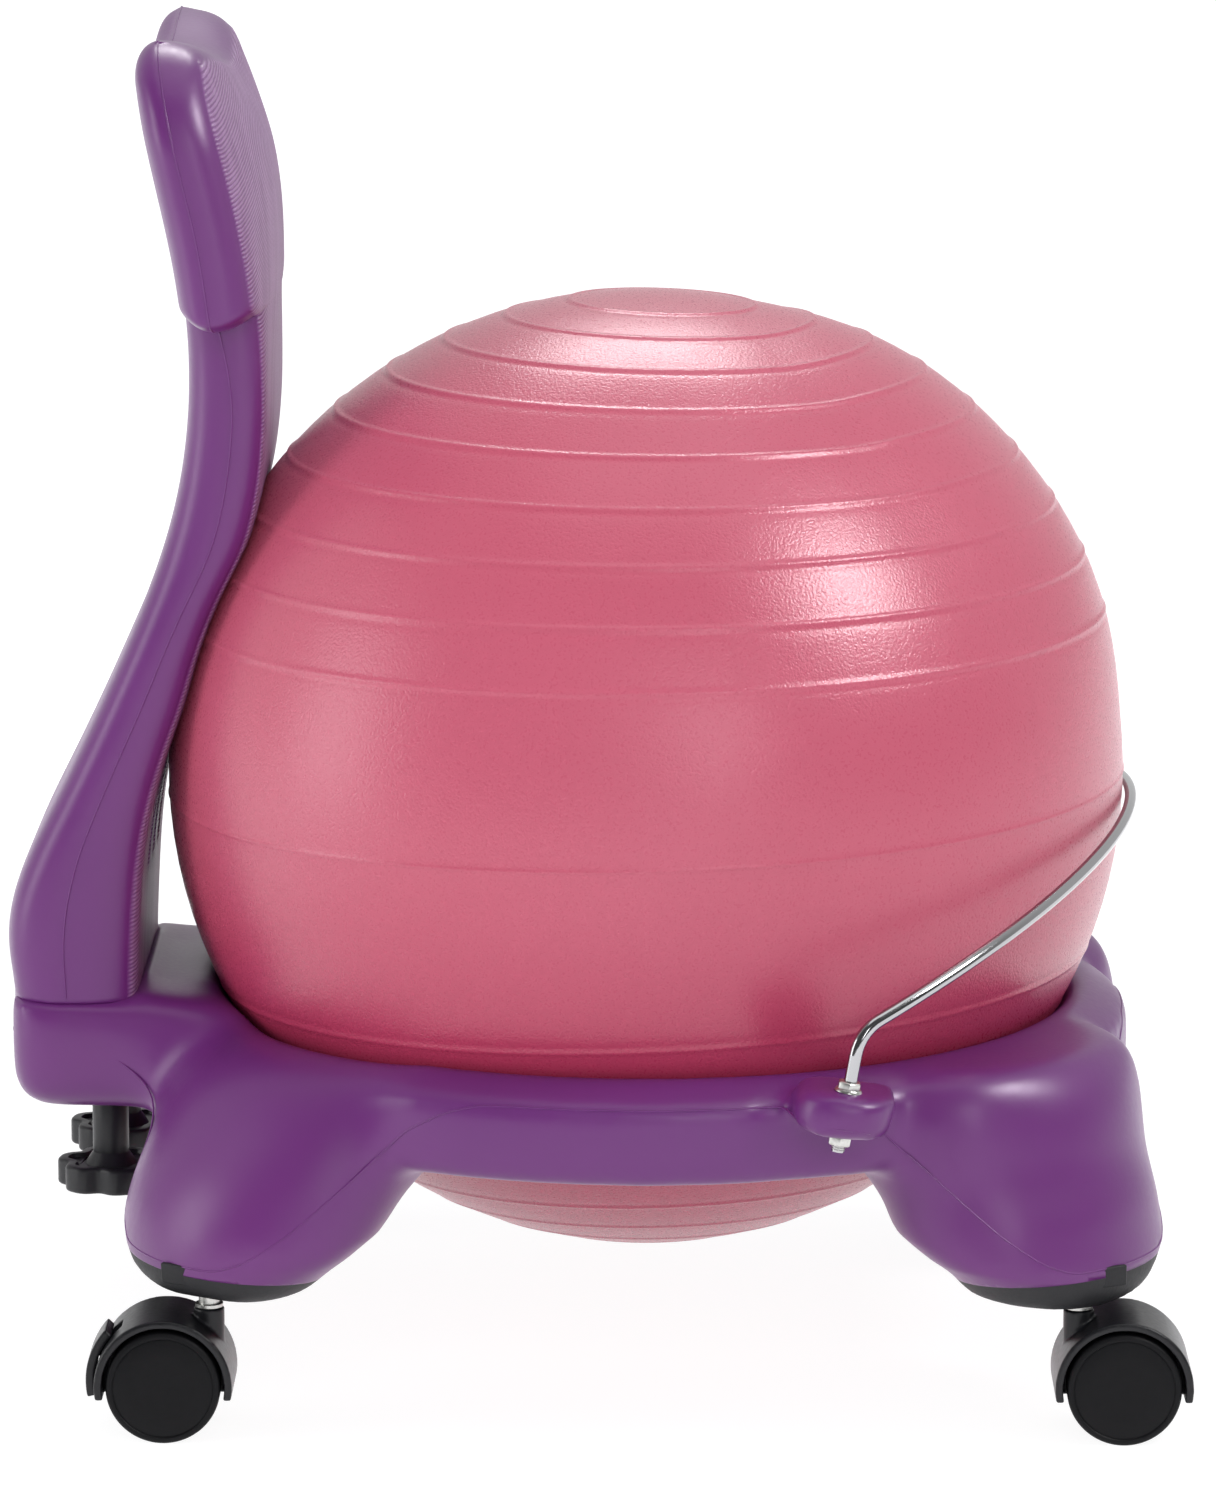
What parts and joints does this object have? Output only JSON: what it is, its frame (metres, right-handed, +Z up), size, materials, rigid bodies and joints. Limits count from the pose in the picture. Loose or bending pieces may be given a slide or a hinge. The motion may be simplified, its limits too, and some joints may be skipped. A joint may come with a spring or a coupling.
{
  "type": "ball chair",
  "caption": "Ball chair: an inflated ball held in a ring-shaped base on swivel casters, with a curved backrest and a bent rod that keeps the ball in.",
  "frame": {"origin": "on the floor under the middle of the chair's length and width", "axes": "+X towards the front of the chair, the way a sitter faces; +Y towards the sitter's left; +Z up"},
  "size_m": [0.4632, 0.4356, 0.528],
  "materials": {
    "purple_plastic": "satin",
    "pink_vinyl": "satin",
    "pale_plug": "satin",
    "black_rubber": "matte",
    "black_plastic": "satin",
    "bright_steel": "polished",
    "zinc_steel": "satin"
  },
  "bodies": {
    "frame": {"base_frame": "purple_plastic", "foot_cap_rear_near": "black_rubber", "caster_stem_rear_near": "zinc_steel", "grip_ring_rear_near": "zinc_steel", "foot_cap_rear_far": "black_rubber", "caster_stem_rear_far": "zinc_steel", "grip_ring_rear_far": "zinc_steel", "foot_cap_front_near": "black_rubber", "caster_stem_front_near": "zinc_steel", "grip_ring_front_near": "zinc_steel", "foot_cap_front_far": "black_rubber", "caster_stem_front_far": "zinc_steel", "grip_ring_front_far": "zinc_steel", "retaining_rod": "bright_steel", "rod_nut_upper_near": "zinc_steel", "rod_nut_lower_near": "zinc_steel", "rod_nut_upper_far": "zinc_steel", "rod_nut_lower_far": "zinc_steel", "backrest": "purple_plastic", "captive_nut_near": "zinc_steel", "captive_nut_far": "zinc_steel"},
    "ball": {"ball": "pink_vinyl", "ball_plug": "pale_plug"},
    "swivel_rear_near": {"caster_hood_rear_near": "black_plastic", "caster_axle_rear_near": "zinc_steel", "lever_pin_rear_near": "zinc_steel"},
    "wheel_rear_near_near": {"wheel_rear_near_near": "black_plastic"},
    "wheel_rear_near_far": {"wheel_rear_near_far": "black_plastic"},
    "brake_lever_rear_near": {"brake_lever_rear_near": "black_plastic"},
    "swivel_rear_far": {"caster_hood_rear_far": "black_plastic", "caster_axle_rear_far": "zinc_steel", "lever_pin_rear_far": "zinc_steel"},
    "wheel_rear_far_near": {"wheel_rear_far_near": "black_plastic"},
    "wheel_rear_far_far": {"wheel_rear_far_far": "black_plastic"},
    "brake_lever_rear_far": {"brake_lever_rear_far": "black_plastic"},
    "swivel_front_near": {"caster_hood_front_near": "black_plastic", "caster_axle_front_near": "zinc_steel"},
    "wheel_front_near_near": {"wheel_front_near_near": "black_plastic"},
    "wheel_front_near_far": {"wheel_front_near_far": "black_plastic"},
    "swivel_front_far": {"caster_hood_front_far": "black_plastic", "caster_axle_front_far": "zinc_steel"},
    "wheel_front_far_near": {"wheel_front_far_near": "black_plastic"},
    "wheel_front_far_far": {"wheel_front_far_far": "black_plastic"},
    "washer_near": {"knob_washer_near": "zinc_steel"},
    "knob_near": {"knob_near": "black_plastic", "knob_stud_near": "zinc_steel"},
    "washer_far": {"knob_washer_far": "zinc_steel"},
    "knob_far": {"knob_far": "black_plastic", "knob_stud_far": "zinc_steel"}
  },
  "joints": [
    {"name": "ball_turn", "type": "hinge", "parent": "frame", "child": "ball", "pos_m": [0.02125, 0, 0.232], "axis": [0, 0, 1], "continuous": true},
    {"name": "swivel_rear_near", "type": "hinge", "parent": "frame", "child": "swivel_rear_near", "pos_m": [-0.14563, -0.14988, 0.051], "axis": [0, 0, 1], "continuous": true},
    {"name": "wheel_rear_near_near_spin", "type": "hinge", "parent": "swivel_rear_near", "child": "wheel_rear_near_near", "pos_m": [-0.16263, -0.16293, 0.022], "axis": [0, 1, 0], "continuous": true},
    {"name": "wheel_rear_near_far_spin", "type": "hinge", "parent": "swivel_rear_near", "child": "wheel_rear_near_far", "pos_m": [-0.16263, -0.13683, 0.022], "axis": [0, 1, 0], "continuous": true},
    {"name": "brake_rear_near", "type": "hinge", "parent": "swivel_rear_near", "child": "brake_lever_rear_near", "pos_m": [-0.17675, -0.14988, 0.03471], "axis": [0, 1, 0], "range_deg": [0, 12]},
    {"name": "swivel_rear_far", "type": "hinge", "parent": "frame", "child": "swivel_rear_far", "pos_m": [-0.14563, 0.14988, 0.051], "axis": [0, 0, 1], "continuous": true},
    {"name": "wheel_rear_far_near_spin", "type": "hinge", "parent": "swivel_rear_far", "child": "wheel_rear_far_near", "pos_m": [-0.16263, 0.13683, 0.022], "axis": [0, 1, 0], "continuous": true},
    {"name": "wheel_rear_far_far_spin", "type": "hinge", "parent": "swivel_rear_far", "child": "wheel_rear_far_far", "pos_m": [-0.16263, 0.16293, 0.022], "axis": [0, 1, 0], "continuous": true},
    {"name": "brake_rear_far", "type": "hinge", "parent": "swivel_rear_far", "child": "brake_lever_rear_far", "pos_m": [-0.17675, 0.14988, 0.03471], "axis": [0, 1, 0], "range_deg": [0, 12]},
    {"name": "swivel_front_near", "type": "hinge", "parent": "frame", "child": "swivel_front_near", "pos_m": [0.18813, -0.14988, 0.051], "axis": [0, 0, 1], "continuous": true},
    {"name": "wheel_front_near_near_spin", "type": "hinge", "parent": "swivel_front_near", "child": "wheel_front_near_near", "pos_m": [0.20513, -0.16293, 0.022], "axis": [0, 1, 0], "continuous": true},
    {"name": "wheel_front_near_far_spin", "type": "hinge", "parent": "swivel_front_near", "child": "wheel_front_near_far", "pos_m": [0.20513, -0.13683, 0.022], "axis": [0, 1, 0], "continuous": true},
    {"name": "swivel_front_far", "type": "hinge", "parent": "frame", "child": "swivel_front_far", "pos_m": [0.18813, 0.14988, 0.051], "axis": [0, 0, 1], "continuous": true},
    {"name": "wheel_front_far_near_spin", "type": "hinge", "parent": "swivel_front_far", "child": "wheel_front_far_near", "pos_m": [0.20513, 0.13683, 0.022], "axis": [0, 1, 0], "continuous": true},
    {"name": "wheel_front_far_far_spin", "type": "hinge", "parent": "swivel_front_far", "child": "wheel_front_far_far", "pos_m": [0.20513, 0.16293, 0.022], "axis": [0, 1, 0], "continuous": true},
    {"name": "knob_near_screw", "type": "slide", "parent": "frame", "child": "washer_near", "axis": [0, 0, -1], "range_m": [0, 0.01395]},
    {"name": "knob_near_turn", "type": "hinge", "parent": "washer_near", "child": "knob_near", "pos_m": [-0.19163, -0.033, 0.1044], "axis": [0, 0, -1], "range_deg": [0, 4017.02]},
    {"name": "knob_far_screw", "type": "slide", "parent": "frame", "child": "washer_far", "axis": [0, 0, -1], "range_m": [0, 0.01395]},
    {"name": "knob_far_turn", "type": "hinge", "parent": "washer_far", "child": "knob_far", "pos_m": [-0.19163, 0.033, 0.1044], "axis": [0, 0, -1], "range_deg": [0, 4017.02]}
  ],
  "couplings": [
    {"joint": "knob_near_turn", "follows": "knob_near_screw", "rad_per_m": 5026.5},
    {"joint": "knob_far_turn", "follows": "knob_far_screw", "rad_per_m": 5026.5}
  ]
}
